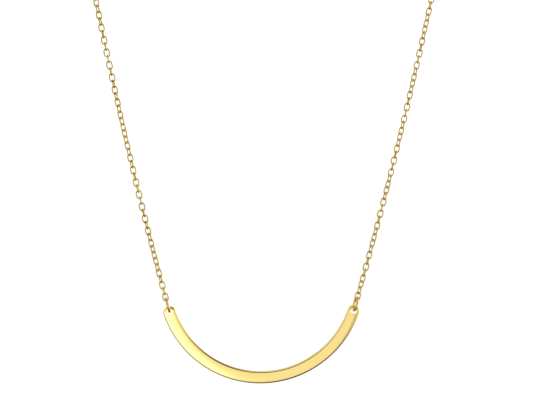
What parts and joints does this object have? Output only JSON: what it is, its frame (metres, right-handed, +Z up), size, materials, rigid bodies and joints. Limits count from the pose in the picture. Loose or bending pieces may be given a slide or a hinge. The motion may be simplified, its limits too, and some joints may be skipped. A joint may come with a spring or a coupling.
{
  "type": "curved bar necklace",
  "caption": "Necklace with a flat polished bar bent to an arc, hung by a ring at each end from a fine cable chain that goes round the neck to a spring ring clasp.",
  "frame": {"origin": "at the nape, in the middle of the clasp, where the loop hangs on the back of the neck", "axes": "+Z up; +X to the right of someone who faces the necklace; the bar's face looks along -Y, away from the neck"},
  "size_m": [0.0958, 0.0725, 0.1392],
  "materials": {
    "bar_metal": "mirror polished, gold plated",
    "ring_metal": "polished wire, gold plated",
    "chain_metal": "polished wire, gold plated",
    "clasp_metal": "polished, gold plated"
  },
  "bodies": {
    "chain_loop": {"chain_left": "chain_metal", "chain_right": "chain_metal", "clasp": "clasp_metal", "end_ring": "ring_metal"},
    "hanging_bar": {"curved_bar": "bar_metal", "jump_ring_left": "ring_metal", "jump_ring_right": "ring_metal"}
  },
  "joints": [
    {"name": "bar_swing", "type": "hinge", "parent": "chain_loop", "child": "hanging_bar", "pos_m": [0, -0.06841, -0.11377], "axis": [1, 0, 0], "range_deg": [-65, 65]}
  ]
}
